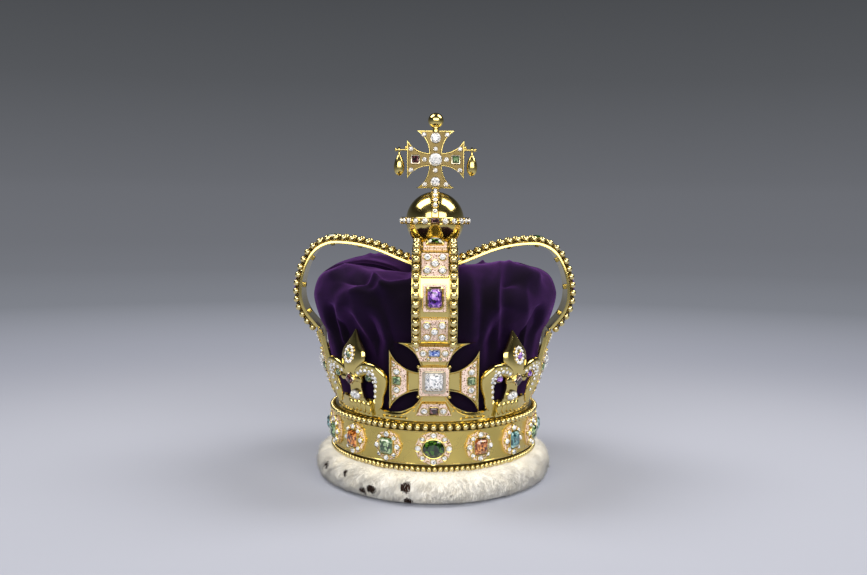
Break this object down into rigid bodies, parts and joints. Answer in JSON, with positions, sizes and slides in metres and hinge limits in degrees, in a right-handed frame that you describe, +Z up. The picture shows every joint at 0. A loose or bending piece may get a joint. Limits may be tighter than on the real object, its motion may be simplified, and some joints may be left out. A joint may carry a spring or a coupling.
{
  "type": "arched crown",
  "caption": "Jewelled gold crown with a fur roll, swagged band of crosses and lilies, dipped arches, orb and cross, and a velvet cap.",
  "frame": {"origin": "middle of the crown on the surface that its fur roll stands on", "axes": "+Z up through the orb and the top cross, front towards -Y, +X to the wearer's left"},
  "size_m": [0.2354, 0.2714, 0.3018],
  "materials": {
    "gold": "polished gold",
    "white_fur": "dense white fur with a few dark tail tips",
    "purple_velvet": "cotton velvet with a short pile",
    "enamelled_setting": "pinkish white enamel over pierced metal",
    "white_stone": "cut and polished",
    "green_stone": "cut and polished",
    "dark_green_stone": "cut and polished",
    "teal_stone": "cut and polished",
    "orange_stone": "cut and polished",
    "purple_stone": "cut and polished"
  },
  "bodies": {
    "crown": {"fur_band": "white_fur", "velvet_cap": "purple_velvet", "band": "gold", "band_beads_low": "gold", "band_beads_high": "gold", "band_settings": "enamelled_setting", "band_small_stones": "white_stone", "band_stone_1": "green_stone", "band_stone_2": "orange_stone", "band_stone_3": "green_stone", "band_stone_4": "green_stone", "band_stone_5": "orange_stone", "band_stone_6": "teal_stone", "band_stone_7": "green_stone", "band_stone_8": "teal_stone", "band_stone_9": "green_stone", "band_stone_10": "orange_stone", "band_stone_11": "green_stone", "band_stone_12": "dark_green_stone", "band_stone_13": "orange_stone", "band_stone_14": "teal_stone", "band_stone_15": "green_stone", "band_stone_16": "teal_stone", "cross_right": "gold", "cross_back": "gold", "cross_left": "gold", "cross_front": "gold", "cross_stone_right": "white_stone", "cross_stone_back": "white_stone", "cross_stone_left": "white_stone", "cross_stone_front": "white_stone", "cross_small_stones": "white_stone", "lily_1": "gold", "lily_2": "gold", "lily_3": "gold", "lily_4": "gold", "lily_stones": "white_stone", "arch_right": "gold", "arch_back": "gold", "arch_left": "gold", "arch_front": "gold", "arch_low_stone_right": "purple_stone", "arch_low_stone_back": "purple_stone", "arch_low_stone_left": "purple_stone", "arch_low_stone_front": "purple_stone", "arch_high_stone_right": "dark_green_stone", "arch_high_stone_back": "dark_green_stone", "arch_high_stone_left": "dark_green_stone", "arch_high_stone_front": "dark_green_stone", "arch_small_stones": "white_stone", "orb": "gold", "top_cross": "gold"},
    "drop_left": {"drop_left": "gold"},
    "drop_right": {"drop_right": "gold"}
  },
  "joints": [
    {"name": "drop_left_swing", "type": "hinge", "parent": "crown", "child": "drop_left", "pos_m": [-0.0304, 0, 0.271], "axis": [1, 0, 0], "range_deg": [-60, 60]},
    {"name": "drop_right_swing", "type": "hinge", "parent": "crown", "child": "drop_right", "pos_m": [0.0304, 0, 0.271], "axis": [1, 0, 0], "range_deg": [-60, 60]}
  ]
}
